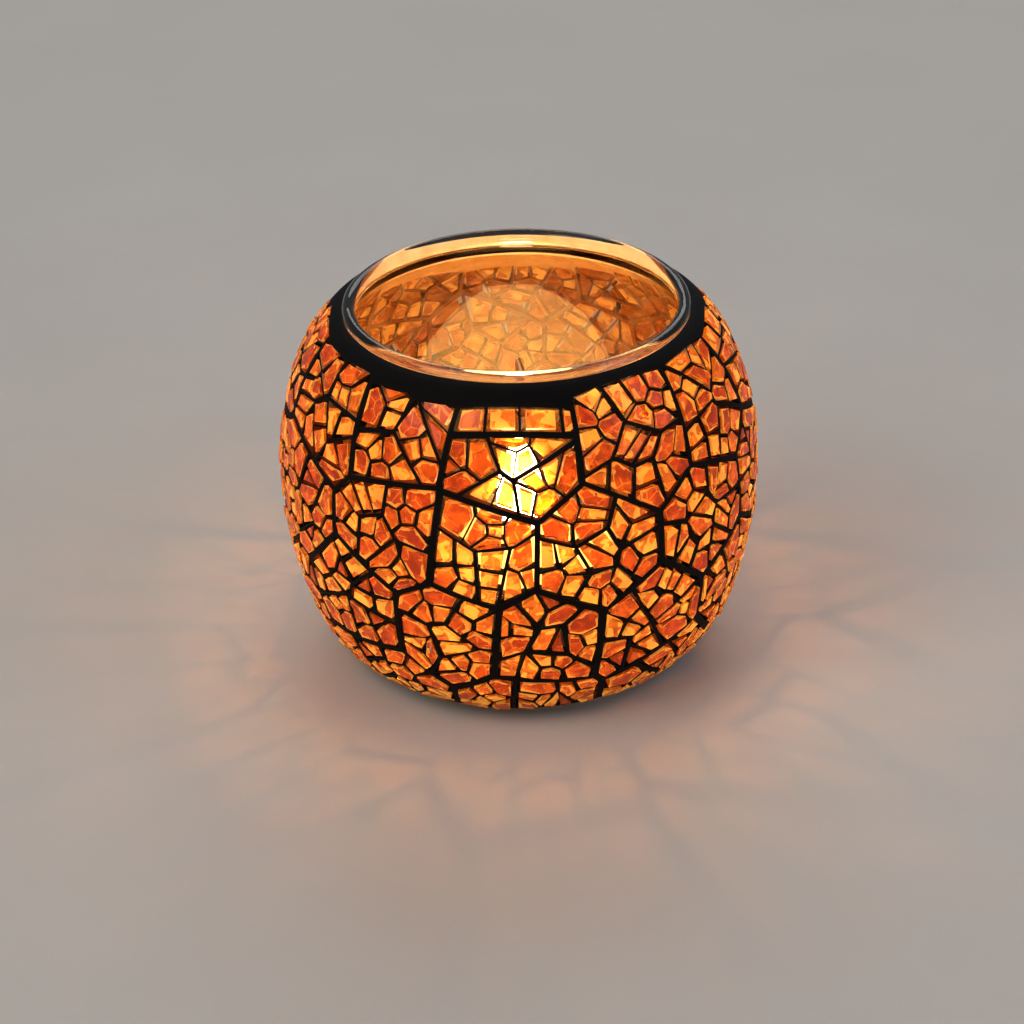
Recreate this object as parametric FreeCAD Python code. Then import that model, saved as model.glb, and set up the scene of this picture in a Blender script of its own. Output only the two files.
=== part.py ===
"""Crackle-glass mosaic tealight holder with its tealight, in millimetres.

The frame is +Z up, with the origin on the standing surface under the centre of the foot. The holder
is a clear blown-glass bowl. Tiles of amber tempered glass, shattered in place, are glued round it
with clear adhesive, and grout fills every joint and makes the plain band under the rim. A tealight
stands inside: a pressed aluminium cup, a loose wax slug, and a wick crimped into a steel tab.

Every chip of a tile is a straight prism of its own, cut flat and stuck tangent to the bowl, so the
joints open outwards. A tile is one node that holds its chips as separate solids.
"""

import FreeCAD, Part
import math
import os
import random

# Driving dimensions of the bowl. Radii of the meridian's arcs are taken over the chips.
HEIGHT = 70.0
BELLY_RADIUS = 45.0
UPPER_BELLY_BEND = 60.0
LOWER_BELLY_BEND = 75.0
SHOULDER_BEND = 30.0
FOOT_BEND = 21.0
UPPER_BELLY_SWEEP = 18.0
LOWER_BELLY_SWEEP = 20.0
SHOULDER_END = 46.0
NECK_BEND = 2.5
WALL = 2.0
FLOOR = 3.5
LIP_BEAD = 1.25
PUNT_RADIUS = 14.0
PUNT_DEPTH = 0.8

# The mosaic skin. A joint's width is measured at the adhesive, where it is narrowest.
ADHESIVE = 0.3
CHIP = 2.2
CHIP_SPREAD = 0.15
GROUT = 1.95
SKIN = ADHESIVE + CHIP
CHIP_AREA = 15.5
CHIPS_PER_SHARD = 4.2
SMALLEST_CHIP = 2.0
SHORTEST_EDGE = 0.45
CELL_REACH = 20.0
CORNER_PULL = 1.3
WINDOW_BELOW = 0.5
WINDOW_ABOVE = 1.0
LOST_CHIPS = 0.06
LARGEST_LOST = 5.5
TILE_JOINT = 0.85
SHARD_JOINT = 0.45
CRACK = 0.2
JOINT_PLAY = (0.6, 1.5)
SKIN_START = -60.0
MOSAIC_BOTTOM = 3.1
BAND_START = 42.0
COLLAR_RISE = 0.5
ADHESIVE_CLEARANCE = 0.01

# Courses of tiles from the foot up: name, tiles in the course, height of its middle.
COURSES = (
    ("foot_tile", 10, 6.5),
    ("lower_belly_tile", 13, 23.0),
    ("upper_belly_tile", 13, 41.0),
    ("shoulder_tile", 12, 58.0),
)
TILE_TURN_PLAY = 0.16
TILE_LIFT_PLAY = 1.6
TILE_REACH = 40.0
# Along the front the mosaic ends in a border, one row of upright chips: (from, to) in degrees.
BORDER_STRETCH = (240.0, 300.0)
BORDER_DROP = 4.4
BORDER_CHIP = 6.0
BORDER_CHIP_PLAY = 0.3
BORDER_CHIPS_EACH_SIDE = 2
EDGE_PLAY = 1.1
# Height of the mosaic's top edge round the bowl: (degrees from +X, height).
TOP_EDGE = (
    (0, 66.3),
    (60, 62.0),
    (100, 61.0),
    (140, 62.5),
    (180, 66.8),
    (225, 65.8),
    (245, 65.2),
    (265, 65.0),
    (285, 66.4),
    (310, 67.2),
    (360, 66.3),
)

# The tealight.
CUP_RADIUS = 19.0
CUP_HEIGHT = 15.5
CUP_WALL = 0.3
CUP_LIP = 0.45
CUP_CORNER = 1.0
CUP_STEP = 0.35
CUP_STEP_RADIUS = 12.5
CUP_STEP_SLOPE = 0.8
WAX_CLEARANCE = 0.25
WAX_HEIGHT = 12.2
WAX_CHAMFER = 1.2
POOL_DIP = 0.7
MENISCUS = 1.6
WICK_RADIUS = 0.75
WICK_BORE = 0.85
WICK_RISE = 3.0
WICK_CURL_BEND = 4.0
WICK_CURL_SWEEP = 55.0
TAB_RADIUS = 6.5
TAB_THICKNESS = 0.3
TAB_NECK_RADIUS = 1.35
TAB_NECK_HEIGHT = 3.2
TAB_RECESS = 0.15
CANDLE_BASE = FLOOR + CUP_WALL + CUP_STEP

SEED = 11
UP = FreeCAD.Vector(0, 0, 1)


def turned(degrees, length=1.0):
    """(r, z) of a step of that length, at an angle above the horizontal."""
    return length * math.cos(math.radians(degrees)), length * math.sin(math.radians(degrees))


def meridian():
    """The skin's outer arcs from the foot up: (centre r, centre z, radius, from, to), in degrees."""
    foot_r, foot_z = turned(-LOWER_BELLY_SWEEP, LOWER_BELLY_BEND - FOOT_BEND)
    shoulder_r, shoulder_z = turned(UPPER_BELLY_SWEEP, UPPER_BELLY_BEND - SHOULDER_BEND)
    belly_z = FOOT_BEND - SKIN - foot_z
    lower = BELLY_RADIUS - LOWER_BELLY_BEND
    upper = BELLY_RADIUS - UPPER_BELLY_BEND
    return (
        (lower + foot_r, belly_z + foot_z, FOOT_BEND, -90.0, -LOWER_BELLY_SWEEP),
        (lower, belly_z, LOWER_BELLY_BEND, -LOWER_BELLY_SWEEP, 0.0),
        (upper, belly_z, UPPER_BELLY_BEND, 0.0, UPPER_BELLY_SWEEP),
        (upper + shoulder_r, belly_z + shoulder_z, SHOULDER_BEND, UPPER_BELLY_SWEEP, SHOULDER_END),
    )


MERIDIAN = meridian()


def arc_point(arc, degrees, depth):
    """A point on one meridian arc, depth under the chips' outer surface, in the XZ plane."""
    centre_r, centre_z, radius = arc[:3]
    r, z = turned(degrees, radius - depth)
    return FreeCAD.Vector(centre_r + r, 0, centre_z + z)


def arc_edge(arc, depth, start, end):
    """The edge of one meridian arc between two angles."""
    middle = (start + end) / 2
    points = [arc_point(arc, degrees, depth) for degrees in (start, middle, end)]
    return Part.Arc(*points).toShape()


def body_edges(depth, start, end):
    """The meridian's edges from one angle on the foot arc to another on the shoulder arc."""
    edges = []
    for arc in MERIDIAN:
        low = max(arc[3], start)
        high = min(arc[4], end)
        if high > low:
            edges.append(arc_edge(arc, depth, low, high))
    return edges


def neck_arc(depth):
    """The hollow arc that turns the shoulder upright, as (start, middle, end) points."""
    centre = arc_point(MERIDIAN[3], SHOULDER_END, SKIN - NECK_BEND)
    bend = NECK_BEND - (SKIN - depth)
    points = []
    for share in (0.0, 0.5, 1.0):
        r, z = turned(180.0 + SHOULDER_END * (1.0 - share), bend)
        points.append(centre + FreeCAD.Vector(r, 0, z))
    return points


def line(start, end):
    return Part.LineSegment(start, end).toShape()


def tangent_middle(start, heading, end):
    """The middle point of the arc that leaves start along heading (r, z) and reaches end."""
    chord = end - start
    along = FreeCAD.Vector(heading[0], 0, heading[1])
    half_turn = along.getAngle(chord)
    outward = FreeCAD.Vector(chord.z, 0, -chord.x).normalize()
    return (start + end) / 2 + outward * (chord.Length / 2 * math.tan(half_turn / 2))


def revolved(edges):
    """A solid of revolution about Z from the edges of a closed outline in the XZ plane."""
    wire = Part.Wire(Part.__sortEdges__(edges))
    return Part.Face(wire).revolve(FreeCAD.Vector(0, 0, 0), UP, 360)


def glass_bowl():
    """Blown bowl: hollow punt, flat foot ring, round body, short upright neck and a rolled lip."""
    outer, inner = SKIN, SKIN + WALL
    foot, shoulder = MERIDIAN[0], MERIDIAN[3]
    ring = arc_point(foot, -90.0, outer)
    floor_angle = -math.degrees(math.asin((foot[1] - FLOOR) / (foot[2] - inner)))
    floor_edge = arc_point(foot, floor_angle, inner)
    neck_out, neck_in = neck_arc(outer), neck_arc(inner)
    bead = FreeCAD.Vector((neck_out[2].x + neck_in[2].x) / 2, 0, HEIGHT - LIP_BEAD)
    # The lip's bead is a little thicker than the wall, and meets both of its faces.
    drop = math.sqrt(LIP_BEAD**2 - (WALL / 2) ** 2)
    lip_out = FreeCAD.Vector(neck_out[2].x, 0, bead.z - drop)
    lip_in = FreeCAD.Vector(neck_in[2].x, 0, bead.z - drop)
    crown = FreeCAD.Vector(bead.x, 0, HEIGHT)
    punt_top = FreeCAD.Vector(0, 0, PUNT_DEPTH)
    punt_edge = FreeCAD.Vector(PUNT_RADIUS, 0, 0)
    dome = (PUNT_RADIUS**2 + PUNT_DEPTH**2) / (2 * PUNT_DEPTH)
    halfway = PUNT_RADIUS / 2
    punt_middle = FreeCAD.Vector(halfway, 0, PUNT_DEPTH - dome + math.sqrt(dome**2 - halfway**2))
    edges = [
        Part.Arc(punt_top, punt_middle, punt_edge).toShape(),
        line(punt_edge, ring),
        *body_edges(outer, -90.0, SHOULDER_END),
        Part.Arc(*neck_out).toShape(),
        line(neck_out[2], lip_out),
        Part.Arc(lip_out, crown, lip_in).toShape(),
        line(lip_in, neck_in[2]),
        Part.Arc(*neck_in).toShape(),
        *body_edges(inner, floor_angle, shoulder[4]),
        line(floor_edge, FreeCAD.Vector(0, 0, floor_edge.z)),
        line(FreeCAD.Vector(0, 0, floor_edge.z), punt_top),
    ]
    return revolved(edges)


def adhesive_bed():
    """The film of clear adhesive between the bowl and everything stuck on it."""
    outer, inner = CHIP + ADHESIVE_CLEARANCE, SKIN
    start, end = SKIN_START, BAND_START
    edges = [
        *body_edges(outer, start, end),
        *body_edges(inner, start, end),
        line(arc_point(MERIDIAN[0], start, outer), arc_point(MERIDIAN[0], start, inner)),
        line(arc_point(MERIDIAN[3], end, outer), arc_point(MERIDIAN[3], end, inner)),
    ]
    return revolved(edges)


def grout(chips):
    """One casting of grout: a shell with a rounded collar under the lip, and a window at each chip."""
    foot, shoulder = MERIDIAN[0], MERIDIAN[3]
    outer, inner = CHIP - GROUT, CHIP
    neck = neck_arc(SKIN)
    collar_low = arc_point(shoulder, BAND_START, outer)
    collar_top = neck[2] + FreeCAD.Vector(0, 0, COLLAR_RISE)
    bulge = tangent_middle(collar_low, turned(BAND_START + 90.0), collar_top)
    adhesive_end = arc_point(shoulder, BAND_START, inner)
    glass_start = arc_point(shoulder, BAND_START, SKIN)
    shell = revolved(
        [
            *body_edges(outer, SKIN_START, BAND_START),
            Part.Arc(collar_low, bulge, collar_top).toShape(),
            line(collar_top, neck[2]),
            Part.Arc(*neck).toShape(),
            arc_edge(shoulder, SKIN, BAND_START, SHOULDER_END),
            line(glass_start, adhesive_end),
            *body_edges(inner, SKIN_START, BAND_START),
            line(arc_point(foot, SKIN_START, inner), arc_point(foot, SKIN_START, outer)),
        ]
    )
    return shell.cut([chip.window() for chip in chips])


def on_bed(point):
    """The nearest point on the adhesive's outer surface, with the outward and upward directions."""
    r = math.hypot(point.x, point.y)
    out = FreeCAD.Vector(point.x / r, point.y / r, 0)
    for arc in MERIDIAN:
        angle = math.degrees(math.atan2(point.z - arc[1], r - arc[0]))
        if angle < arc[4] or arc is MERIDIAN[3]:
            break
    flat = arc_point(arc, angle, CHIP)
    r_share, z_share = turned(angle)
    normal = out * r_share + UP * z_share
    upward = UP * r_share - out * z_share
    return out * flat.x + UP * flat.z, normal, upward


def fence(near, far, gap):
    """The half-space on near's side of the plane midway to far, set back by its half of a joint."""
    direction = (far - near).normalize()
    set_back = gap / 2 * random.uniform(*JOINT_PLAY)
    return (near + far) * 0.5 - direction * set_back, direction


def clipped(polygon, fences):
    """A convex polygon with everything beyond the fences cut away."""
    for place, direction in fences:
        kept = []
        for index, point in enumerate(polygon):
            before = polygon[index - 1]
            here = (point - place).dot(direction)
            there = (before - place).dot(direction)
            if (here > 0) != (there > 0):
                kept.append(before + (point - before) * (there / (there - here)))
            if here <= 0:
                kept.append(point)
        polygon = kept
        if len(polygon) < 3:
            return []
    return polygon


def cell(seed, fences):
    """The polygon round seed, inside its fences, in the plane tangent to the bed there."""
    place, normal, upward = on_bed(seed)
    across = normal.cross(upward) * CELL_REACH
    along = upward * CELL_REACH
    square = [place - across - along, place + across - along, place + across + along, place - across + along]
    return clipped(square, fences)


def triangles(polygon):
    """(area, centre) of each triangle in the fan of a convex polygon."""
    first = polygon[0]
    found = []
    for second, third in zip(polygon[1:], polygon[2:]):
        area = (second - first).cross(third - first).Length / 2
        found.append((area, (first + second + third) * (1 / 3)))
    return found


def area_and_middle(polygon):
    parts = triangles(polygon)
    total = sum(area for area, _ in parts)
    middle = FreeCAD.Vector(0, 0, 0)
    for area, centre in parts:
        middle += centre * (area / total)
    return total, middle


def random_point(polygon):
    """A random point of a convex polygon, pulled a little towards its middle."""
    weights = [random.random() ** CORNER_PULL for _ in polygon]
    total = sum(weights)
    found = FreeCAD.Vector(0, 0, 0)
    for weight, corner in zip(weights, polygon):
        found += corner * (weight / total)
    return found


def split(seed, fences, count, gap, rounds):
    """Breaks one cell into count cells, as (seed, fences), with joints of that gap between them."""
    outline = cell(seed, fences)
    seeds = [on_bed(random_point(outline))[0] for _ in range(count)]
    for _ in range(rounds):
        moved = []
        for one in seeds:
            between = [fence(one, other, 0) for other in seeds if other is not one]
            polygon = cell(one, fences + between)
            moved.append(on_bed(area_and_middle(polygon)[1])[0] if polygon else one)
        seeds = moved
    return broken(seeds, fences, gap)


def broken(seeds, fences, gap):
    """The cells round several seeds inside the same fences, with joints of that gap between them."""
    cells = []
    for one in seeds:
        between = [fence(one, other, gap) for other in seeds if other is not one]
        cells.append((one, fences + between))
    return cells


def direction(seed):
    """The seed's direction round the bowl, in degrees from +X."""
    return math.degrees(math.atan2(seed.y, seed.x)) % 360


def top_edge_height(degrees):
    """The height of the mosaic's top edge in that direction."""
    for (start, low), (end, high) in zip(TOP_EDGE, TOP_EDGE[1:]):
        if start <= degrees <= end:
            return low + (high - low) * (degrees - start) / (end - start)


def level(seed, height):
    """(point, upward direction) of the bed at a height, in the seed's direction."""
    out = FreeCAD.Vector(seed.x, seed.y, 0).normalize()
    for arc in MERIDIAN:
        share = (height - arc[1]) / (arc[2] - CHIP)
        angle = math.degrees(math.asin(min(share, 1.0)))
        if angle < arc[4]:
            break
    flat = arc_point(arc, angle, CHIP)
    place, _, upward = on_bed(out * flat.x + UP * flat.z)
    return place, upward


def edge_fences(seed):
    """The fences at the mosaic's uneven bottom and top edges, below and above the seed."""
    bottom, bottom_up = level(seed, MOSAIC_BOTTOM + random.uniform(0, EDGE_PLAY))
    top, top_up = level(seed, top_edge_height(direction(seed)) - random.uniform(0, EDGE_PLAY))
    return [(bottom, bottom_up * -1), (top, top_up)]


def border_row(seed, fences):
    """A border tile's row of chips, as (seed, fences), and the fences of the rest of the tile."""
    top = top_edge_height(direction(seed))
    middle = level(seed, top - BORDER_DROP / 2)[0]
    line_place, line_up = level(seed, top - BORDER_DROP)
    set_back = line_up * (TILE_JOINT / 2)
    above = fences + [(line_place + set_back, line_up * -1)]
    below = fences + [(line_place - set_back, line_up)]
    step = math.degrees(BORDER_CHIP / math.hypot(middle.x, middle.y))
    row = []
    for index in range(-BORDER_CHIPS_EACH_SIDE, BORDER_CHIPS_EACH_SIDE + 1):
        place = index + random.uniform(-BORDER_CHIP_PLAY, BORDER_CHIP_PLAY)
        turn = FreeCAD.Rotation(UP, place * step)
        row.append(turn.multVec(middle))
    return broken(row, above, CRACK), below


def tile_seeds():
    """(node name, seed) of every tile, laid in courses with a hand's unevenness."""
    seeds = []
    for row, (name, count, height) in enumerate(COURSES):
        for index in range(count):
            place = index + 0.5 * ((row + 1) % 2) + random.uniform(-TILE_TURN_PLAY, TILE_TURN_PLAY)
            turn = FreeCAD.Rotation(UP, place * 360 / count)
            lift = random.uniform(-TILE_LIFT_PLAY, TILE_LIFT_PLAY)
            seed = level(turn.multVec(FreeCAD.Vector(1, 0, 0)), height + lift)[0]
            seeds.append((f"{name}_{index + 1:02d}", seed))
    return seeds


class Chip:
    """One glass chip: its polygon on the bed, the direction it faces and its thickness."""

    def __init__(self, seed, polygon):
        self.normal = on_bed(seed)[1]
        self.polygon = polygon
        self.thickness = CHIP + random.uniform(-CHIP_SPREAD, CHIP_SPREAD)

    def prism(self, low, high):
        corners = [corner + self.normal * low for corner in self.polygon]
        return Part.Face(Part.makePolygon(corners + corners[:1])).extrude(self.normal * (high - low))

    def solid(self):
        return self.prism(0.0, self.thickness)

    def window(self):
        """The chip's outline right through the grout."""
        return self.prism(-WINDOW_BELOW, CHIP + WINDOW_ABOVE)


def without_short_edges(polygon):
    return [p for i, p in enumerate(polygon) if (p - polygon[i - 1]).Length > SHORTEST_EDGE]


def chips_of(name, seed, fences):
    """A tile's chips: the tile breaks into shards, and each shard into chips."""
    cells = []
    first, last = BORDER_STRETCH
    if name.startswith("shoulder") and first < direction(seed) < last:
        cells, fences = border_row(seed, fences + edge_fences(seed)[1:])
    area = area_and_middle(cell(seed, fences + edge_fences(seed)))[0]
    shard_count = max(2, round(area / (CHIP_AREA * CHIPS_PER_SHARD)))
    for shard_seed, shard_fences in split(seed, fences + edge_fences(seed), shard_count, SHARD_JOINT, 1):
        shard_fences = shard_fences + edge_fences(shard_seed)
        outline = cell(shard_seed, shard_fences)
        if outline:
            count = max(1, round(area_and_middle(outline)[0] / CHIP_AREA))
            cells += split(shard_seed, shard_fences, count, CRACK, 1)
    chips = []
    for chip_seed, chip_fences in cells:
        polygon = without_short_edges(cell(chip_seed, chip_fences))
        area = area_and_middle(polygon)[0] if len(polygon) > 2 else 0.0
        lost = area < LARGEST_LOST and random.random() < LOST_CHIPS
        if area > SMALLEST_CHIP and not lost:
            chips.append(Chip(chip_seed, polygon))
    return chips


def mosaic():
    """Node name to chips, for every tile."""
    seeds = tile_seeds()
    tiles = {}
    for name, seed in seeds:
        near = [other for _, other in seeds if 0 < (other - seed).Length < TILE_REACH]
        fences = [fence(seed, other, TILE_JOINT) for other in near]
        tiles[name] = chips_of(name, seed, fences)
    return tiles


def cup_sheet_face(depth):
    """One face of the cup's pressed sheet: edges from the axis out to the foot of the wall."""
    base = FLOOR + depth
    radius = CUP_RADIUS - depth
    bend = CUP_CORNER - depth
    foot = FreeCAD.Vector(radius - bend, 0, base)
    points = [
        FreeCAD.Vector(0, 0, base + CUP_STEP),
        FreeCAD.Vector(CUP_STEP_RADIUS, 0, base + CUP_STEP),
        FreeCAD.Vector(CUP_STEP_RADIUS + CUP_STEP_SLOPE, 0, base),
        foot,
    ]
    edges = [line(a, b) for a, b in zip(points, points[1:])]
    wall = FreeCAD.Vector(radius, 0, base + bend)
    edges.append(Part.Arc(foot, tangent_middle(foot, (1, 0), wall), wall).toShape())
    return edges, points[0], wall


def tealight_cup():
    """Pressed cup with a raised step in its floor and a rolled lip."""
    outside, outside_axis, outside_wall = cup_sheet_face(0.0)
    inside, inside_axis, inside_wall = cup_sheet_face(CUP_WALL)
    roll = FreeCAD.Vector(CUP_RADIUS - CUP_WALL + CUP_LIP, 0, FLOOR + CUP_HEIGHT - CUP_LIP)
    under = math.sqrt(CUP_LIP**2 - (roll.x - CUP_RADIUS) ** 2)
    under_lip = FreeCAD.Vector(CUP_RADIUS, 0, roll.z - under)
    crown = roll + UP * CUP_LIP
    lip_inside = FreeCAD.Vector(CUP_RADIUS - CUP_WALL, 0, roll.z)
    edges = [
        *outside,
        line(outside_wall, under_lip),
        Part.Arc(under_lip, roll + FreeCAD.Vector(CUP_LIP, 0, 0), crown).toShape(),
        Part.Arc(crown, tangent_middle(crown, (-1, 0), lip_inside), lip_inside).toShape(),
        line(lip_inside, inside_wall),
        *inside,
        line(inside_axis, outside_axis),
    ]
    return revolved(edges)


def wax_slug():
    """Slug with a chamfered foot, a dished melt pool, a wick bore and a recess for the tab."""
    radius = CUP_RADIUS - CUP_WALL - WAX_CLEARANCE
    top = CANDLE_BASE + WAX_HEIGHT
    recess = CANDLE_BASE + TAB_THICKNESS + TAB_RECESS
    recess_radius = TAB_RADIUS + TAB_RECESS
    neck_radius = TAB_NECK_RADIUS + TAB_RECESS
    neck_top = recess + TAB_NECK_HEIGHT
    outline = [
        (radius - MENISCUS, top),
        (WICK_BORE, top),
        (WICK_BORE, neck_top),
        (neck_radius, neck_top),
        (neck_radius, recess),
        (recess_radius, recess),
        (recess_radius, CANDLE_BASE),
        (radius - WAX_CHAMFER, CANDLE_BASE),
        (radius, CANDLE_BASE + WAX_CHAMFER),
        (radius, top + POOL_DIP),
    ]
    points = [FreeCAD.Vector(r, 0, z) for r, z in outline]
    edges = [line(a, b) for a, b in zip(points, points[1:])]
    hollow = tangent_middle(points[0], (1, 0), points[-1])
    edges.append(Part.Arc(points[0], hollow, points[-1]).toShape())
    return revolved(edges)


def wick_tab():
    """Steel sustainer: a thin disc with a crimped neck that grips the wick."""
    base = UP * CANDLE_BASE
    disc = Part.makeCylinder(TAB_RADIUS, TAB_THICKNESS, base)
    neck = Part.makeCylinder(TAB_NECK_RADIUS, TAB_THICKNESS + TAB_NECK_HEIGHT, base)
    hole = Part.makeCylinder(WICK_RADIUS, TAB_NECK_HEIGHT, base + UP * TAB_THICKNESS)
    return disc.fuse(neck).cut(hole).removeSplitter().Solids[0]


def wick():
    """Braided cotton wick: straight up through the wax, then curling over above it."""
    start = UP * (CANDLE_BASE + TAB_THICKNESS)
    straight_top = UP * (CANDLE_BASE + WAX_HEIGHT + WICK_RISE)
    centre = straight_top - FreeCAD.Vector(WICK_CURL_BEND, 0, 0)
    along = [turned(WICK_CURL_SWEEP * share, WICK_CURL_BEND) for share in (0.5, 1.0)]
    curl = Part.Arc(straight_top, *[centre + FreeCAD.Vector(r, 0, z) for r, z in along])
    path = Part.Wire([line(start, straight_top), curl.toShape()])
    section = Part.Wire(Part.Circle(start, UP, WICK_RADIUS).toShape())
    return path.makePipeShell([section], True, True)


def export(shapes):
    os.makedirs("parts", exist_ok=True)
    for name, shape in shapes.items():
        shape.exportStep(f"parts/{name}.step")


def main():
    random.seed(SEED)
    tiles = mosaic()
    chips = [chip for tile in tiles.values() for chip in tile]
    shapes = {
        "glass_bowl": glass_bowl(),
        "adhesive_bed": adhesive_bed(),
        "grout": grout(chips),
        "tealight_cup": tealight_cup(),
        "wax_slug": wax_slug(),
        "wick_tab": wick_tab(),
        "wick": wick(),
    }
    for name, tile in tiles.items():
        shapes[name] = Part.makeCompound([chip.solid() for chip in tile])
    export(shapes)
    print(f"{len(shapes)} nodes, {len(chips)} chips")


main()
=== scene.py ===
"""Looks of the crackle-glass mosaic tealight holder, built round its CAD frame, in metres.

A clear blown bowl carries amber glass chips in black grout. A lit tealight stands inside and
shines through them.
"""
import math

import bpy
from mathutils import Euler, Matrix, Vector, noise


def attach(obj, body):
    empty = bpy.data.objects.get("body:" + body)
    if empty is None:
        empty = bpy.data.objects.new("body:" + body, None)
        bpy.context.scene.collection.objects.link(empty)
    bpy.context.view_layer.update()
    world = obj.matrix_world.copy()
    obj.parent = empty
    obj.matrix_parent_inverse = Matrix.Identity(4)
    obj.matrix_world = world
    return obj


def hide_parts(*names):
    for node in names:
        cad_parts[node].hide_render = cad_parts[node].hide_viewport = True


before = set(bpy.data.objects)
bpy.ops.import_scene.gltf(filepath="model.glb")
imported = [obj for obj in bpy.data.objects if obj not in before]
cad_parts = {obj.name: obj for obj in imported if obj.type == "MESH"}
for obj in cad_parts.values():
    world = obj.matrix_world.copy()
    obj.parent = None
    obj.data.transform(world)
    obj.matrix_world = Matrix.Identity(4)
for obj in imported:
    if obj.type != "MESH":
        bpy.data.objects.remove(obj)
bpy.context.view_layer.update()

MM = 0.001

# The bowl, in millimetres. The skin is all that lies on the glass: adhesive, chips and grout.
SKIN = 2.5
WALL = 2.0
BELLY = 45.0
HEIGHT = 70.0
LIP_BEAD = 1.25
FLOOR = 3.5
FLOOR_CORNER_RUN = 1.6
FLOOR_CORNER_RISE = 0.3
PUNT_RADIUS = 14.0
PUNT_RISE = 0.8
FOOT_EDGE = 18.0
HAIR = 0.05

# The skin's outer line: the radii of its four arcs from the foot up, and the angles where they meet.
HEEL, LOWER_SIDE, UPPER_SIDE, SHOULDER = 21, 75, 60, 30
FOOT_AT, HEEL_END, BELLY_AT, SHOULDER_FROM, NECK_AT = -90, -20, 0, 18, 46
NECK_BEND = 2.5
ARC_STEP = 3.5
SPIN_STEPS = 168

# The chips, in millimetres. Their outlines come from the CAD chips' outer faces.
BOWL_MIDDLE = Vector((0.0, 0.0, 36.0 * MM))
FACES_OUT = 0.9
TILTED_OUT = 0.85
CHIP = 2.2
CHAMFER = 0.12
CHAMFER_RUN = 0.1
CROWN = 0.06
CROWN_RUN = 0.9
GLUE_GAP = 0.08
SPREAD = 0.15
TAPER = 0.2
SOFTENED = 0.3
BITE = 0.2
BITE_BIAS = 0.1
BITES_PER_MM = 0.64
LEAN = 0.09
LEANS_PER_MM = 0.9
SUNK = 0.05
SEED = 5

# The flame, in millimetres over the table, and how much of the glow shows where nothing covers it.
FLAME_FOOT = 19.8
FLAME_TIP = 41.6
FLAME_STEPS = 32
FLAME_GLOW = 100.0
FLAME_SEEN = 0.022
# WAX_SEEN tempers the wax's painted glow, which stands for the flame's light on it.
WAX_SEEN = 0.025
MIRRORED = 0.12

# Angles between faces, in degrees, under which an edge is shaded smooth or dissolved.
ROUND = 35
CRISP = 20
FLAT = 1

# Points nearer to each other than this, in millimetres, are one point.
POLE_WELD = 0.002
CAD_WELD = 0.0005


# ---------------------------------------------------------------- nodes and colours


def hex_colour(code):
    """An sRGB hex colour as linear RGBA."""
    parts = [int(code[i : i + 2], 16) / 255 for i in (0, 2, 4)]
    linear = [p / 12.92 if p <= 0.04045 else ((p + 0.055) / 1.055) ** 2.4 for p in parts]
    return (*linear, 1.0)


def sized(millimetres):
    """The scale that gives a texture features of this size."""
    return 1 / (millimetres * MM)


def new_material(name):
    """An empty node material with its output."""
    material = bpy.data.materials.new(name)
    material.use_nodes = True
    material.node_tree.nodes.clear()
    return material, add(material, "ShaderNodeOutputMaterial")


def add(material, kind, inputs=None, **settings):
    """Adds a node with its settings; each input is a plain value or another node's output.

    By number, a Map Range takes its value (0), the range it comes from (1, 2) and the one it goes
    to (3, 4), and a Mix takes its factor (0) and two numbers (2, 3) or two colours (6, 7).
    """
    made = material.node_tree.nodes.new(kind)
    for name, value in settings.items():
        setattr(made, name, value)
    for socket, value in (inputs or {}).items():
        if isinstance(value, bpy.types.NodeSocket):
            material.node_tree.links.new(value, made.inputs[socket])
        else:
            made.inputs[socket].default_value = value
    return made


def finish_material(material, output, shader):
    """Joins the shader to the output."""
    material.node_tree.links.new(shader.outputs[0], output.inputs["Surface"])
    return material


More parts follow.
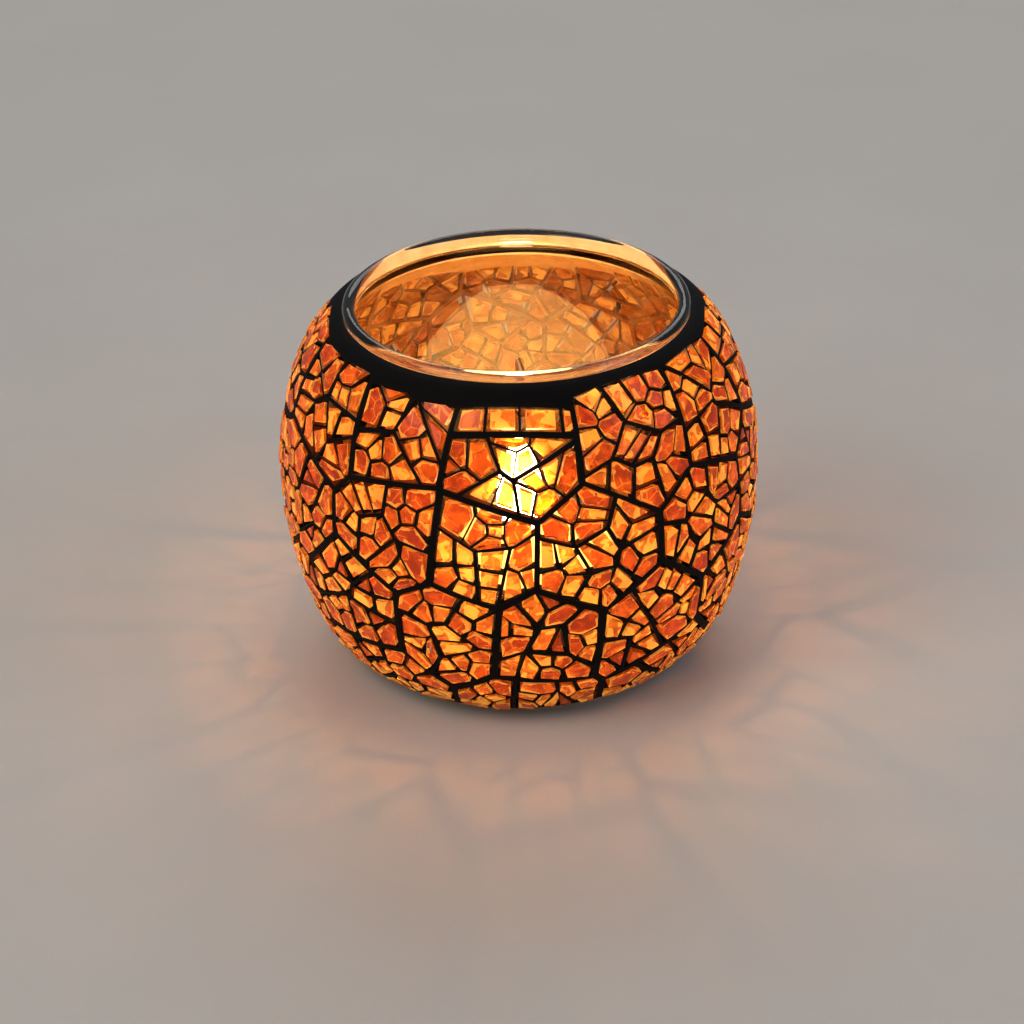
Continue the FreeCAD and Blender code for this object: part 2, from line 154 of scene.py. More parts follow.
def amber_glass():
    """Amber sheet glass, tempered and shattered: glossy slightly pebbled faces, frosty broken edges.

    The faces give the deep orange fill with its dark veins and the white-hot patch where the flame
    The gold bands along the rims and on hairline cracks are painted highlights with a painted glow.
    """
    m, out = new_material("amber_crackle_glass")
    spot = add(m, "ShaderNodeTexCoord").outputs["Object"]
    island = add(m, "ShaderNodeNewGeometry").outputs["Random Per Island"]
    rim = add(m, "ShaderNodeAttribute", attribute_name="rim").outputs["Fac"]
    broken = add(m, "ShaderNodeAttribute", attribute_name="broken").outputs["Fac"]

    # Every chip has a stretch of the melt of its own, so no pattern runs on past a crack.
    shift = add(m, "ShaderNodeMath", {0: island, 1: 0.35}, operation="MULTIPLY").outputs[0]
    shift = add(m, "ShaderNodeCombineXYZ", {0: shift, 1: shift}).outputs[0]
    own = add(m, "ShaderNodeVectorMath", {0: spot, 1: shift}, operation="ADD").outputs[0]
    cords = add(m, "ShaderNodeTexNoise",
                {"Vector": own, "Scale": sized(3.2), "Detail": 2.5, "Distortion": 0.7})
    depth = add(m, "ShaderNodeMapRange", {0: cords.outputs["Fac"], 1: 0.36, 2: 0.66},
                interpolation_type="SMOOTHSTEP").outputs[0]
    fill = add(m, "ShaderNodeMix", {0: depth, 6: hex_colour("AC500C"), 7: hex_colour("FFA024")},
               data_type="RGBA").outputs[2]
    tone = add(m, "ShaderNodeMix", {0: island, 6: hex_colour("DC9450"), 7: hex_colour("FFF4D8")},
               data_type="RGBA").outputs[2]
    body = add(m, "ShaderNodeMix", {0: 1.0, 6: fill, 7: tone},
               data_type="RGBA", blend_type="MULTIPLY").outputs[2]

    # Painted highlights on the broken sides behind the face: bands up to 1 mm wide along parts of the
    # rim.
    painted_glint_noise = add(m, "ShaderNodeTexNoise",
                 {"Vector": own, "Scale": sized(2.8), "Detail": 1.0, "Distortion": 0.6})
    width = add(m, "ShaderNodeMapRange",
                {0: painted_glint_noise.outputs["Fac"], 1: 0.49, 2: 0.66, 3: 1.12, 4: 0.2}).outputs[0]
    inner = add(m, "ShaderNodeMath", {0: width, 1: 0.14}, operation="SUBTRACT").outputs[0]
    band = add(m, "ShaderNodeMapRange", {0: rim, 1: inner, 2: width}).outputs[0]
    # Painted highlights along hairline cracks inside the chips, 0.1 mm wide, too.
    hairs = add(m, "ShaderNodeTexVoronoi", {"Vector": own, "Scale": sized(4.2)},
                feature="DISTANCE_TO_EDGE").outputs["Distance"]
    hair = add(m, "ShaderNodeMapRange", {0: hairs, 1: 0.012, 2: 0.03, 3: 0.7, 4: 0.0}).outputs[0]
    hair = add(m, "ShaderNodeMath", {0: hair, 1: depth}, operation="MULTIPLY").outputs[0]
    lit = add(m, "ShaderNodeMath", {0: band, 1: hair}, operation="MAXIMUM").outputs[0]
    # Painted glow and highlights: gold on the highlights, a faint orange glow on the rest of each chip.
    colour = add(m, "ShaderNodeMix", {0: lit, 6: body, 7: hex_colour("FFC868")},
                 data_type="RGBA").outputs[2]
    glow = add(m, "ShaderNodeMix", {0: lit, 6: hex_colour("FF6A0A"), 7: hex_colour("FFB040")},
               data_type="RGBA").outputs[2]
    strength = add(m, "ShaderNodeMapRange", {0: lit, 3: 0.12, 4: 0.45}).outputs[0]
    rough = add(m, "ShaderNodeMapRange", {0: broken, 3: 0.27, 4: 0.4}).outputs[0]
    ripple = add(m, "ShaderNodeTexNoise", {"Vector": own, "Scale": sized(1.4), "Detail": 2.0})
    bump = add(m, "ShaderNodeBump",
               {"Height": ripple.outputs["Fac"], "Strength": 0.6, "Distance": 0.06 * MM}).outputs[0]
    glass = add(m, "ShaderNodeBsdfPrincipled",
                {"Base Color": colour, "Roughness": rough, "IOR": 1.5, "Transmission Weight": 1.0,
                 "Coat Weight": 0.12, "Coat Roughness": 0.05,
                 "Emission Color": glow, "Emission Strength": strength, "Normal": bump})
    through = add(m, "ShaderNodeBsdfTranslucent", {"Color": colour})
    scattered = add(m, "ShaderNodeBsdfDiffuse", {"Color": colour})
    haze = add(m, "ShaderNodeMixShader", {0: 0.2, 1: through.outputs[0], 2: scattered.outputs[0]})
    solid = add(m, "ShaderNodeMixShader", {0: 0.36, 1: glass.outputs[0], 2: haze.outputs[0]})
    # Shadow rays pass as amber light, so that the flame reaches every face of every chip.
    shadow = add(m, "ShaderNodeLightPath").outputs["Is Shadow Ray"]
    passed = add(m, "ShaderNodeBsdfTransparent", {"Color": hex_colour("FFE4BE")})
    mix = add(m, "ShaderNodeMixShader", {0: shadow, 1: solid.outputs[0], 2: passed.outputs[0]})
    return finish_material(m, out, mix)


def clear_glass():
    """Blown soda-lime glass: clear, fire polished, faintly rippled, which bends what is behind it."""
    m, out = new_material("clear_soda_lime_glass")
    spot = add(m, "ShaderNodeTexCoord").outputs["Object"]
    ripple = add(m, "ShaderNodeTexNoise", {"Vector": spot, "Scale": sized(14), "Detail": 1.0})
    bump = add(m, "ShaderNodeBump",
               {"Height": ripple.outputs["Fac"], "Strength": 0.35, "Distance": 0.4 * MM})
    glass = add(m, "ShaderNodeBsdfPrincipled",
                {"Base Color": hex_colour("FBFDFB"), "Roughness": 0.0, "IOR": 1.5,
                 "Transmission Weight": 1.0, "Normal": bump.outputs[0]})
    shadow = add(m, "ShaderNodeLightPath").outputs["Is Shadow Ray"]
    passed = add(m, "ShaderNodeBsdfTransparent", {"Color": hex_colour("F6F8F6")})
    mix = add(m, "ShaderNodeMixShader", {0: shadow, 1: glass.outputs[0], 2: passed.outputs[0]})
    return finish_material(m, out, mix)


def clear_adhesive():
    """Cured clear adhesive: its index matches the glass, so only a faint warm haze shows."""
    m, out = new_material("cured_clear_adhesive")
    spot = add(m, "ShaderNodeTexCoord").outputs["Object"]
    blotch = add(m, "ShaderNodeTexNoise", {"Vector": spot, "Scale": sized(3), "Detail": 3.0})
    amount = add(m, "ShaderNodeMapRange",
                 {0: blotch.outputs["Fac"], 1: 0.42, 2: 0.7, 3: 0.02, 4: 0.14}).outputs[0]
    film = add(m, "ShaderNodeBsdfPrincipled", {"Base Color": hex_colour("C98A50"), "Roughness": 0.35})
    through = add(m, "ShaderNodeBsdfTransparent", {"Color": hex_colour("EDE0CE")})
    haze = add(m, "ShaderNodeMixShader", {0: amount, 1: through.outputs[0], 2: film.outputs[0]})
    return finish_material(m, out, haze)


def black_grout():
    """Black sanded cement grout, wiped while wet: matt, with grains a fifth of a millimetre across.

    Behind the plain band its back is coated with pale adhesive, which shows through the bowl.
    """
    m, out = new_material("black_sanded_grout")
    spot = add(m, "ShaderNodeTexCoord").outputs["Object"]
    grain = add(m, "ShaderNodeTexNoise", {"Vector": spot, "Scale": sized(0.2), "Detail": 2.0})
    grain = grain.outputs["Fac"]
    smear = add(m, "ShaderNodeTexNoise", {"Vector": spot, "Scale": sized(4), "Detail": 4.0})
    smear = smear.outputs["Fac"]
    tint = add(m, "ShaderNodeMix", {0: smear, 6: hex_colour("040303"), 7: hex_colour("100D0C")},
               data_type="RGBA").outputs[2]
    coat = add(m, "ShaderNodeMix", {0: smear, 6: hex_colour("B98A5C"), 7: hex_colour("E6C49A")},
               data_type="RGBA").outputs[2]

    # The faces that look at the bowl's axis are the ones that lie on the adhesive.
    normal = add(m, "ShaderNodeNewGeometry").outputs["True Normal"]
    x, y, z = add(m, "ShaderNodeSeparateXYZ", {0: spot}).outputs
    away = add(m, "ShaderNodeCombineXYZ", {0: x, 1: y}).outputs[0]
    away = add(m, "ShaderNodeVectorMath", {0: away}, operation="NORMALIZE").outputs[0]
    facing = add(m, "ShaderNodeVectorMath", {0: normal, 1: away}, operation="DOT_PRODUCT")
    inward = add(m, "ShaderNodeMath", {0: facing.outputs["Value"], 1: -0.1},
                 operation="LESS_THAN").outputs[0]
    high = add(m, "ShaderNodeMapRange", {0: z, 1: 58 * MM, 2: 60.5 * MM}).outputs[0]
    glue = add(m, "ShaderNodeMix", {0: high, 6: hex_colour("7A3410"), 7: coat},
               data_type="RGBA").outputs[2]
    colour = add(m, "ShaderNodeMix", {0: inward, 6: tint, 7: glue}, data_type="RGBA").outputs[2]

    height = add(m, "ShaderNodeMix", {0: 0.5, 2: grain, 3: smear}).outputs[0]
    rough = add(m, "ShaderNodeMapRange", {0: grain, 3: 0.6, 4: 0.85}).outputs[0]
    bump = add(m, "ShaderNodeBump", {"Height": height, "Strength": 0.6, "Distance": 0.12 * MM})
    cement = add(m, "ShaderNodeBsdfPrincipled",
                 {"Base Color": colour, "Roughness": rough, "Specular IOR Level": 0.12,
                  "Normal": bump.outputs[0]})
    return finish_material(m, out, cement)


def foil():
    """Deep-drawn aluminium sheet: bright, with fine draw lines up the wall and shallow dents."""
    m, out = new_material("drawn_aluminium_foil")
    spot = add(m, "ShaderNodeTexCoord").outputs["Object"]
    drawn = add(m, "ShaderNodeMapping", {"Vector": spot, "Scale": (1.0, 1.0, 0.06)}).outputs[0]
    lines = add(m, "ShaderNodeTexNoise", {"Vector": drawn, "Scale": sized(0.35), "Detail": 2.0})
    lines = lines.outputs["Fac"]
    dents = add(m, "ShaderNodeTexNoise", {"Vector": spot, "Scale": sized(5), "Detail": 1.0})
    height = add(m, "ShaderNodeMix", {0: 0.7, 2: lines, 3: dents.outputs["Fac"]}).outputs[0]
    rough = add(m, "ShaderNodeMapRange", {0: lines, 3: 0.16, 4: 0.34}).outputs[0]
    bump = add(m, "ShaderNodeBump", {"Height": height, "Strength": 0.35, "Distance": 0.15 * MM})
    metal = add(m, "ShaderNodeBsdfPrincipled",
                {"Base Color": hex_colour("E4E4E6"), "Metallic": 1.0, "Roughness": rough,
                 "Normal": bump.outputs[0]})
    return finish_material(m, out, metal)


def tempered(material, strength, share):
    """Tempers a glow where no glass stands in front of it, so that it doesn't burn out to white.

    It keeps its full strength for the chips that it lights, and less of it shows in reflections.
    """
    path = add(material, "ShaderNodeLightPath").outputs
    seen = add(material, "ShaderNodeMapRange", {0: path["Is Camera Ray"], 3: 1.0, 4: share})
    mirrored = add(material, "ShaderNodeMapRange",
                   {0: path["Is Reflection Ray"], 3: 1.0, 4: MIRRORED})
    factor = add(material, "ShaderNodeMath", {0: seen.outputs[0], 1: mirrored.outputs[0]},
                 operation="MULTIPLY").outputs[0]
    return add(material, "ShaderNodeMath", {0: strength, 1: factor}, operation="MULTIPLY").outputs[0]


def paraffin():
    """Paraffin wax: milky and translucent, glossy where melted; its flame's light is a painted glow."""
    m, out = new_material("paraffin_wax")
    spot = add(m, "ShaderNodeTexCoord").outputs["Object"]
    x, y, z = add(m, "ShaderNodeSeparateXYZ", {0: spot}).outputs
    flat = add(m, "ShaderNodeCombineXYZ", {0: x, 1: y}).outputs[0]
    radius = add(m, "ShaderNodeVectorMath", {0: flat}, operation="LENGTH").outputs["Value"]
    melted = add(m, "ShaderNodeMapRange", {0: radius, 1: 13.5 * MM, 2: 16.5 * MM, 3: 1.0, 4: 0.0},
                 interpolation_type="SMOOTHSTEP").outputs[0]
    clouds = add(m, "ShaderNodeTexNoise", {"Vector": spot, "Scale": sized(2.5), "Detail": 4.0})
    clouds = clouds.outputs["Fac"]
    tint = add(m, "ShaderNodeMix", {0: clouds, 6: hex_colour("E2CB9C"), 7: hex_colour("F4E6C6")},
               data_type="RGBA").outputs[2]
    pool = add(m, "ShaderNodeMix", {0: melted, 6: tint, 7: hex_colour("DDBE88")},
               data_type="RGBA").outputs[2]
    rough = add(m, "ShaderNodeMapRange", {0: melted, 3: 0.42, 4: 0.08}).outputs[0]
    bump = add(m, "ShaderNodeBump", {"Height": clouds, "Strength": 0.25, "Distance": 0.2 * MM})
    # Painted glow for the light of the flame above, brighter near the wick.
    near = add(m, "ShaderNodeMapRange", {0: radius, 1: 1 * MM, 2: 17 * MM, 3: 8.0, 4: 4.0}).outputs[0]
    body = add(m, "ShaderNodeBsdfPrincipled",
               {"Base Color": pool, "Roughness": rough, "IOR": 1.43,
                "Subsurface Weight": 0.6, "Subsurface Radius": (4.0, 2.6, 1.4), "Subsurface Scale": MM,
                "Emission Color": hex_colour("FFC46A"), "Emission Strength": tempered(m, near, WAX_SEEN),
                "Normal": bump.outputs[0]})
    return finish_material(m, out, body)


def cotton():
    """Braided cotton wick: pale waxed yarn, charred black towards the tip, which still glows."""
    m, out = new_material("waxed_cotton_braid")
    spot = add(m, "ShaderNodeTexCoord").outputs["Object"]
    height = add(m, "ShaderNodeSeparateXYZ", {0: spot}).outputs[2]
    fibres = add(m, "ShaderNodeTexNoise", {"Vector": spot, "Scale": sized(0.15), "Detail": 3.0})
    fibres = fibres.outputs["Fac"]
    charred = add(m, "ShaderNodeMapRange", {0: height, 1: 17.6 * MM, 2: 19.6 * MM},
                  interpolation_type="SMOOTHSTEP").outputs[0]
    yarn = add(m, "ShaderNodeMix", {0: fibres, 6: hex_colour("B9A27C"), 7: hex_colour("EFE2C6")},
               data_type="RGBA").outputs[2]
    tint = add(m, "ShaderNodeMix", {0: charred, 6: yarn, 7: hex_colour("120D0A")},
               data_type="RGBA").outputs[2]
    ember = add(m, "ShaderNodeMapRange", {0: height, 1: 22.0 * MM, 2: 23.4 * MM, 3: 0.0, 4: 6.0})
    bump = add(m, "ShaderNodeBump", {"Height": fibres, "Strength": 0.8, "Distance": 0.05 * MM})
    braid = add(m, "ShaderNodeBsdfPrincipled",
                {"Base Color": tint, "Roughness": 0.85, "Emission Color": hex_colour("FF6A1E"),
                 "Emission Strength": ember.outputs[0], "Normal": bump.outputs[0]})
    return finish_material(m, out, braid)


def tinned_steel():
    """Tinned steel strip, stamped: grey, satin, with faint rolling lines."""
    m, out = new_material("tinned_steel_strip")
    spot = add(m, "ShaderNodeTexCoord").outputs["Object"]
    rolled = add(m, "ShaderNodeMapping", {"Vector": spot, "Scale": (0.05, 1.0, 1.0)}).outputs[0]
    lines = add(m, "ShaderNodeTexNoise", {"Vector": rolled, "Scale": sized(0.2), "Detail": 2.0})
    rough = add(m, "ShaderNodeMapRange", {0: lines.outputs["Fac"], 3: 0.25, 4: 0.45}).outputs[0]
    metal = add(m, "ShaderNodeBsdfPrincipled",
                {"Base Color": hex_colour("B9B6B0"), "Metallic": 1.0, "Roughness": rough})
    return finish_material(m, out, metal)


def flame_gas():
    """Burning wax vapour: blue and almost clear at its foot, then yellow to white-hot."""
    m, out = new_material("flame_gas")
    spot = add(m, "ShaderNodeTexCoord").outputs["Object"]
    height = add(m, "ShaderNodeSeparateXYZ", {0: spot}).outputs[2]
    rise = add(m, "ShaderNodeMapRange", {0: height, 1: FLAME_FOOT * MM, 2: FLAME_TIP * MM}).outputs[0]
    warm = add(m, "ShaderNodeMapRange", {0: rise, 1: 0.05, 2: 0.3},
               interpolation_type="SMOOTHSTEP").outputs[0]
    tint = add(m, "ShaderNodeMix", {0: warm, 6: hex_colour("3D62FF"), 7: hex_colour("FFDC9C")},
               data_type="RGBA").outputs[2]
    power = add(m, "ShaderNodeMapRange", {0: warm, 3: 0.6, 4: FLAME_GLOW}).outputs[0]
    light = add(m, "ShaderNodeEmission", {"Color": tint, "Strength": tempered(m, power, FLAME_SEEN)})
    cover = add(m, "ShaderNodeMapRange", {0: warm, 3: 0.12, 4: 0.95}).outputs[0]
    through = add(m, "ShaderNodeBsdfTransparent")
    gas = add(m, "ShaderNodeMixShader", {0: cover, 1: through.outputs[0], 2: light.outputs[0]})
    return finish_material(m, out, gas)


def pale_floor():
    """Pale painted board: plain, matt, very faintly mottled."""
    m, out = new_material("pale_matt_paint")
    spot = add(m, "ShaderNodeTexCoord").outputs["Object"]
    mottle = add(m, "ShaderNodeTexNoise", {"Vector": spot, "Scale": sized(60), "Detail": 4.0})
    tint = add(m, "ShaderNodeMix",
               {0: mottle.outputs["Fac"], 6: hex_colour("D2CEC8"), 7: hex_colour("DEDAD4")},
               data_type="RGBA").outputs[2]
    paint = add(m, "ShaderNodeBsdfPrincipled", {"Base Color": tint, "Roughness": 0.55})
    return finish_material(m, out, paint)


# ---------------------------------------------------------------- outlines, in millimetres


def turned(degrees, length):
    """The end of an arm of this length, turned up from the horizontal."""
    return length * math.cos(math.radians(degrees)), length * math.sin(math.radians(degrees))


def arc(centre, radius, start, end, steps):
    """Points (r, z) along an arc, both ends included."""
    points = []
    for step in range(steps + 1):
        r, z = turned(start + (end - start) * step / steps, radius)
        points.append((centre[0] + r, centre[1] + z))
    return points


def bowl_arcs():
    """The skin's outer arcs from the foot up: (centre, radius, from, to)."""
    heel_r, heel_z = turned(HEEL_END, LOWER_SIDE - HEEL)
    shoulder_r, shoulder_z = turned(SHOULDER_FROM, UPPER_SIDE - SHOULDER)
    lower_r, upper_r = BELLY - LOWER_SIDE, BELLY - UPPER_SIDE
    belly_z = HEEL - SKIN - heel_z
    return [
        ((lower_r + heel_r, belly_z + heel_z), HEEL, FOOT_AT, HEEL_END),
        ((lower_r, belly_z), LOWER_SIDE, HEEL_END, BELLY_AT),
        ((upper_r, belly_z), UPPER_SIDE, BELLY_AT, SHOULDER_FROM),
        ((upper_r + shoulder_r, belly_z + shoulder_z), SHOULDER, SHOULDER_FROM, NECK_AT),
    ]


def body_line(depth):
    """The bowl's line from the foot up to the neck, depth under the chips' outer surface."""
    points = []
    for centre, radius, start, end in bowl_arcs():
        part = arc(centre, radius - depth, start, end, max(3, round((end - start) / ARC_STEP)))
        points += part if not points else part[1:]
    return points


def neck_line(depth):
    """The hollow bend that turns the shoulder upright."""
    centre, radius = bowl_arcs()[-1][:2]
    r, z = turned(NECK_AT, radius - SKIN + NECK_BEND)
    return arc((centre[0] + r, centre[1] + z), NECK_BEND - SKIN + depth, 180 + NECK_AT, 180, 6)


def bowl_outline():
    """The bowl's section, a hair inside the adhesive and the grout, so no two faces coincide."""
    outer = SKIN + HAIR
    neck_out, neck_in = neck_line(outer), neck_line(SKIN + WALL)
    middle = (neck_out[-1][0] + neck_in[-1][0]) / 2
    spread = math.degrees(math.acos(WALL / 2 / LIP_BEAD))
    bead = arc((middle, HEIGHT - LIP_BEAD), LIP_BEAD, -spread, 180 + spread, 18)
    inside = [p for p in body_line(SKIN + WALL) if p[1] > FLOOR + FLOOR_CORNER_RISE]
    floor_r = inside[0][0] - FLOOR_CORNER_RUN
    punt = [(r, PUNT_RISE * (1 - (r / PUNT_RADIUS) ** 2)) for r in (0, 2.5, 5, 7.5, 10, 12, 13.3)]
    ring = [(PUNT_RADIUS, 0.05), (PUNT_RADIUS + 0.6, 0.0), (FOOT_EDGE, 0.0)]
    floor = [(floor_r + 0.7, FLOOR + 0.08)] + [(r, FLOOR) for r in (floor_r, 20, 12, 5, 0)]
    outside = punt + ring + body_line(outer) + neck_out[1:]
    return outside + bead + neck_in[::-1] + inside[::-1][1:] + floor


def flame_outline():
    """A candle flame's outline from its foot to its tip."""
    side = [(1.4, 20.2), (2.8, 21.5), (3.8, 23.8), (4.4, 26.4), (4.5, 29.2), (4.1, 32.2), (3.2, 35.4),
            (2.0, 38.2), (0.9, 40.4)]
    return [(0.0, FLAME_FOOT)] + side + [(0.0, FLAME_TIP)]


# ---------------------------------------------------------------- modelling


def select_only(piece):
    """Selects this object alone and makes it the active one."""
    bpy.ops.object.select_all(action="DESELECT")
    piece.select_set(True)
    bpy.context.view_layer.objects.active = piece


def edit(piece):
    select_only(piece)
    bpy.ops.object.mode_set(mode="EDIT")


def done():
    bpy.ops.object.mode_set(mode="OBJECT")
    bpy.ops.object.select_all(action="DESELECT")


def settle(piece, name):
    """Puts the piece's place into its mesh and names it."""
    select_only(piece)
    bpy.ops.object.transform_apply(location=True, rotation=True, scale=True)
    bpy.ops.object.select_all(action="DESELECT")
    piece.name = piece.data.name = name


def smooth(piece, degrees):
    select_only(piece)
    bpy.ops.object.shade_smooth_by_angle(angle=math.radians(degrees))
    bpy.ops.object.select_all(action="DESELECT")


def lathe(name, outline, steps):
    """A ring of points laid on the outline and spun about the vertical axis."""
    bpy.ops.object.select_all(action="DESELECT")
    bpy.ops.mesh.primitive_circle_add(vertices=len(outline), radius=1.0)
    piece = bpy.context.object
    for vertex, (r, z) in zip(piece.data.vertices, outline):
        vertex.co = (r * MM, 0.0, z * MM)
    edit(piece)
    bpy.ops.mesh.select_all(action="SELECT")
    bpy.ops.mesh.spin(steps=steps, angle=math.tau, center=(0, 0, 0), axis=(0, 0, 1))
    bpy.ops.mesh.select_all(action="SELECT")
    bpy.ops.mesh.remove_doubles(threshold=POLE_WELD * MM)
    bpy.ops.mesh.select_all(action="SELECT")
    bpy.ops.mesh.normals_make_consistent(inside=False)
    done()
    settle(piece, name)
    smooth(piece, ROUND)
    return piece


def place(piece, body, slot, material, *replaced):
    """Gives the piece its material and body, and hides the CAD nodes that it stands for; slot is not
    used.
    """
    piece.data.materials.clear()
    piece.data.materials.append(material)
    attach(piece, body)
    if replaced:
        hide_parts(*replaced)


def outward(face):
    """How far a face looks out of the bowl: 1 straight out, 0 sideways, -1 inwards."""
    return face.normal.dot((face.center - BOWL_MIDDLE).normalized())


def select_faces(piece, wanted):
    """In edit mode, selects just the faces that wanted(face) accepts."""
    bpy.ops.mesh.select_mode(type="FACE")
    bpy.ops.mesh.select_all(action="DESELECT")
    bpy.ops.object.mode_set(mode="OBJECT")
    for face in piece.data.polygons:
        face.select = wanted(face)
    bpy.ops.object.mode_set(mode="EDIT")


def copied(node, name):
    """A free copy of a CAD node, its triangles merged back into flat faces, left in edit mode."""
    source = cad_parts[node]
    piece = bpy.data.objects.new(name, source.data.copy())
    bpy.context.scene.collection.objects.link(piece)
    edit(piece)
    bpy.ops.mesh.select_mode(type="VERT")
    bpy.ops.mesh.select_all(action="SELECT")
    bpy.ops.mesh.remove_doubles(threshold=CAD_WELD * MM)
    bpy.ops.mesh.select_all(action="SELECT")
    bpy.ops.mesh.dissolve_limited(angle_limit=math.radians(FLAT))
    return piece


def gnaw(mesh):
    """Makes each chip's outline crooked, sinks its face under the CAD face and tilts it a little."""
    for face in mesh.polygons:
        middle, away = face.center.copy(), face.normal.copy()
        lean = noise.noise_vector(middle * (LEANS_PER_MM / MM)) * LEAN
        for index in face.vertices:
            spot = mesh.vertices[index].co
            inwards = (middle - spot).normalized()
            ragged = noise.noise(spot * (BITES_PER_MM / MM)) + BITE_BIAS
            bite = BITE * max(0.0, ragged) - SPREAD
            sink = CHAMFER + SUNK + (spot - middle).dot(lean) / MM
            mesh.vertices[index].co = spot + inwards * (bite * MM) - away * (max(SUNK, sink) * MM)


def narrow_feet(mesh):
    """Draws each chip's glued face in, so the chips stay apart where the joints are narrowest."""
    for face in mesh.polygons:
        if outward(face) < -FACES_OUT and len(face.vertices) > 4:
            for index in face.vertices:
                vertex = mesh.vertices[index]
                vertex.co += (face.center - vertex.co).normalized() * (TAPER * MM)


def mark_edges(mesh):
    """Stores how near each point lies to a chip's rim, and which faces are broken ones."""
    rim = mesh.attributes.new("rim", "FLOAT", "POINT")
    broken = mesh.attributes.new("broken", "FLOAT", "FACE")
    for item in rim.data:
        item.value = 1.0
    for face in mesh.polygons:
        if len(face.vertices) == 4:
            broken.data[face.index].value = 1.0 if abs(outward(face)) < FACES_OUT else 0.0
        else:
            for index in face.vertices:
                rim.data[index].value = 0.0


def crackled_tile(node, name):
    """One tile of chips: outlines cut from the CAD chips' faces, made crooked, thickened, chamfered."""
    piece = copied(node, name)
    select_faces(piece, lambda face: outward(face) < FACES_OUT)
    bpy.ops.mesh.delete(type="FACE")
    # Cut and merged again, the faces keep their shape and take the order that their tints go by.
    bpy.ops.mesh.select_all(action="SELECT")
    bpy.ops.mesh.subdivide(number_cuts=2)
    bpy.ops.mesh.select_all(action="SELECT")
    bpy.ops.mesh.dissolve_limited(angle_limit=math.radians(FLAT))
    bpy.ops.mesh.select_all(action="SELECT")
    bpy.ops.mesh.vertices_smooth(factor=SOFTENED, repeat=1)
    done()
    gnaw(piece.data)
    thick = piece.modifiers.new("thick", "SOLIDIFY")
    thick.thickness = (CHIP - CHAMFER - GLUE_GAP) * MM
    thick.offset = -1.0
    bpy.context.view_layer.objects.active = piece
    bpy.ops.object.modifier_apply(modifier="thick")
    narrow_feet(piece.data)
    edit(piece)
    # The face gets its chamfer, then a low crown whose ring of faces carries the rim's painted
    # highlights.
    select_faces(piece, lambda face: outward(face) > TILTED_OUT and len(face.vertices) > 4)
    bpy.ops.mesh.inset(thickness=CHAMFER_RUN * MM, depth=CHAMFER * MM, use_even_offset=False)
    bpy.ops.mesh.inset(thickness=CROWN_RUN * MM, depth=CROWN * MM, use_even_offset=False)
    done()
    mark_edges(piece.data)
    return piece


# ---------------------------------------------------------------- build

# Without a seed of its own, Blender's noise vector changes with the clock.
noise.seed_set(SEED)

bowl = lathe("blown_bowl", bowl_outline(), SPIN_STEPS)
place(bowl, "holder", "clear_glass", clear_glass(), "glass_bowl")

amber = amber_glass()
for node in sorted(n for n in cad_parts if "_tile_" in n):
    tile = crackled_tile(node, node.replace("_tile_", "_amber_"))
    smooth(tile, CRISP)
    place(tile, "holder", "amber_glass", amber, node)

finishes = {
    "grout": black_grout(),
    "adhesive_bed": clear_adhesive(),
    "tealight_cup": foil(),
    "wick_tab": tinned_steel(),
    "wax_slug": paraffin(),
    "wick": cotton(),
}
for node, material in finishes.items():
    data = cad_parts[node].data
    data.materials.clear()
    data.materials.append(material)

flame = lathe("flame", flame_outline(), FLAME_STEPS)
flame.visible_shadow = False
place(flame, "candle", "candle_wax", flame_gas())

bpy.ops.mesh.primitive_plane_add(size=6.0, location=(0, 0, 0))
floor = bpy.context.object
settle(floor, "floor")
floor.data.materials.append(pale_floor())


# ---------------------------------------------------------------- light and camera


def area_light(name, place_at, size, power, tint):
    """A soft box that faces the bowl's middle."""
    data = bpy.data.lights.new(name, "AREA")
    data.shape = "RECTANGLE"
    data.size, data.size_y = size
    data.energy = power
    data.color = hex_colour(tint)[:3]
    light = bpy.data.objects.new(name, data)
    bpy.context.scene.collection.objects.link(light)
    light.location = place_at
    aim = Vector((0, 0, HEIGHT / 2 * MM)) - Vector(place_at)
    light.rotation_euler = aim.to_track_quat("-Z", "Y").to_euler()


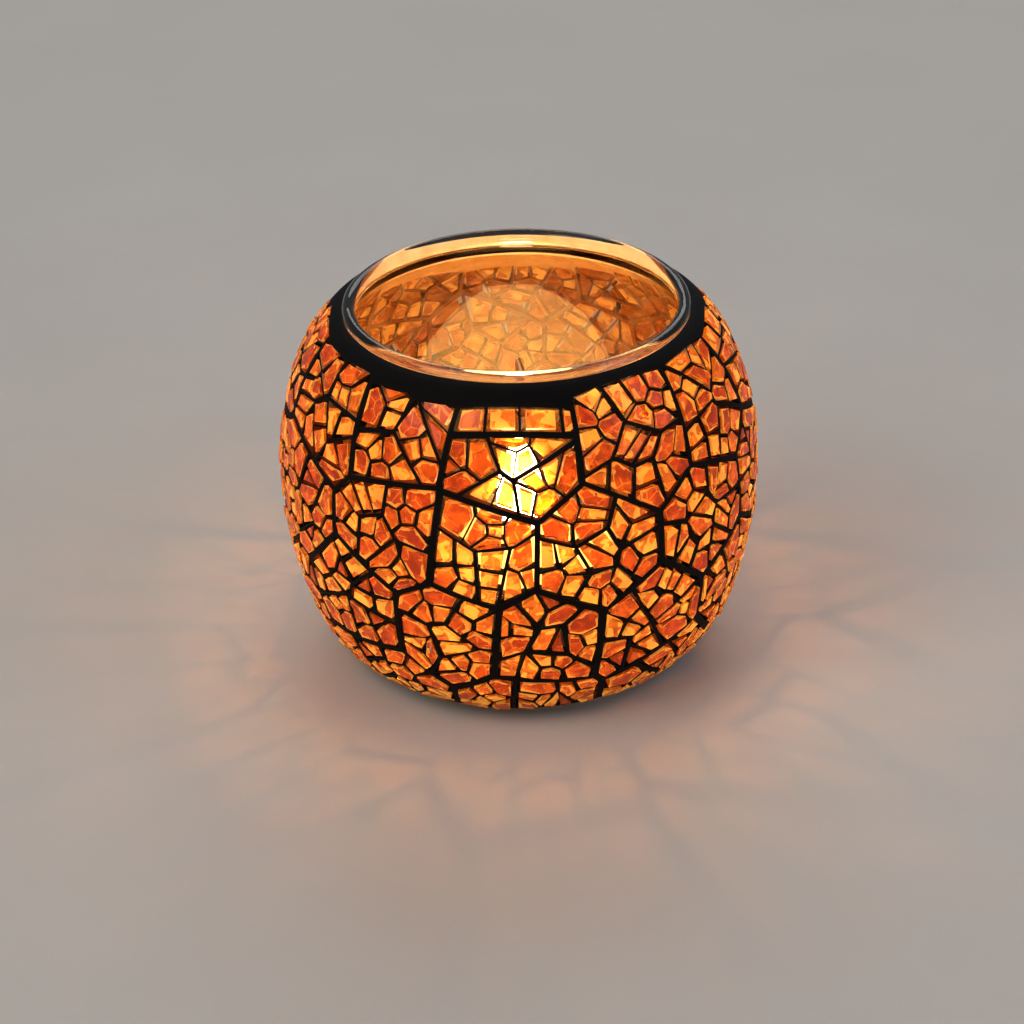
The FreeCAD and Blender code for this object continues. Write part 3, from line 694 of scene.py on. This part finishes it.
area_light("key_softbox", (-0.7, -0.5, 0.9), (0.7, 0.7), 4.2, "FFF6EA")
area_light("fill_softbox", (0.9, -0.3, 0.6), (0.6, 0.9), 1.6, "EEF3FF")
area_light("back_softbox", (0.1, 1.0, 0.8), (1.0, 0.5), 2.6, "FFFFFF")

candle_light = bpy.data.lights.new("candle_light", "POINT")
candle_light.energy = 0.17
candle_light.color = hex_colour("FFE0AC")[:3]
candle_light.shadow_soft_size = 3.0 * MM
lamp = bpy.data.objects.new("candle_light", candle_light)
bpy.context.scene.collection.objects.link(lamp)
lamp.location = (0, 0, 30 * MM)
lamp.visible_camera = False
lamp.visible_glossy = False
lamp.visible_transmission = False
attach(lamp, "candle")
# The flame's light on the wax is a painted glow, so the lamp that stands for the flame leaves it out.
left_dark = bpy.data.collections.new("lit_by_painted_glow")
left_dark.objects.link(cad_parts["wax_slug"])
left_dark.collection_objects[0].light_linking.link_state = "EXCLUDE"
lamp.light_linking.receiver_collection = left_dark

world = bpy.data.worlds.new("studio")
world.use_nodes = True
world.node_tree.nodes["Background"].inputs["Color"].default_value = hex_colour("E6E8EC")
world.node_tree.nodes["Background"].inputs["Strength"].default_value = 0.25
bpy.context.scene.world = world

ELEVATION, ROLL, DISTANCE = math.radians(28.07), math.radians(1.1), 0.55
camera = bpy.data.objects.new("camera", bpy.data.cameras.new("camera"))
bpy.context.scene.collection.objects.link(camera)
camera.data.lens = 102.4
camera.data.sensor_width = 36.0
camera.data.shift_x = -0.0070
camera.data.shift_y = -0.0552
camera.data.clip_start = 0.01
look_at = Vector((0, 0, 36.97 * MM))
back = Vector((0, -math.cos(ELEVATION), math.sin(ELEVATION)))
camera.location = look_at + back * DISTANCE
turn = Matrix.Rotation(-ROLL, 3, back) @ Euler((math.pi / 2 - ELEVATION, 0, 0)).to_matrix()
camera.rotation_euler = turn.to_euler()
bpy.context.scene.camera = camera

# The flame's light comes out of the glass by way of many bounces, and none of it is clamped.
scene = bpy.context.scene
scene.cycles.use_denoising = True
scene.cycles.max_bounces = 24
scene.cycles.transmission_bounces = 24
scene.cycles.transparent_max_bounces = 24
scene.cycles.sample_clamp_indirect = 0.0
scene.view_settings.view_transform = "Standard"
